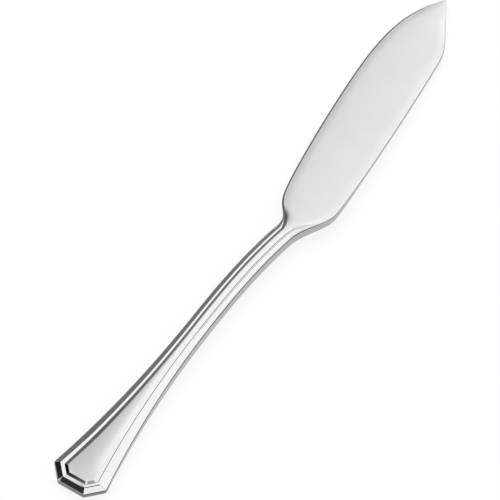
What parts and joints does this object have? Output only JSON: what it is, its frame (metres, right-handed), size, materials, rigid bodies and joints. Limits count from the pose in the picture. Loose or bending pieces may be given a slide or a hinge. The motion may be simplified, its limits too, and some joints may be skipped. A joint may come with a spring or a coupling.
{
  "type": "fish knife",
  "caption": "Fish knife with a blunt leaf-shaped blade, a notched shoulder and a slender panelled hollow handle that flares to an end with cut corners.",
  "frame": {"origin": "on the table under the middle of the knife's box, with the knife lying on its back", "axes": "+X from the end of the handle to the tip, +Y to the blade's notched back, +Z out of the front face"},
  "size_m": [0.21, 0.0252, 0.0056],
  "materials": {
    "blade_steel": "polished",
    "handle_steel": "mirror polished",
    "cement": "rough cast",
    "solder": "as flowed"
  },
  "bodies": {
    "root": {"blade": "blade_steel", "handle_front_shell": "handle_steel", "handle_back_shell": "handle_steel", "handle_filler": "cement", "seam_solder": "solder", "neck_solder": "solder"}
  },
  "joints": []
}
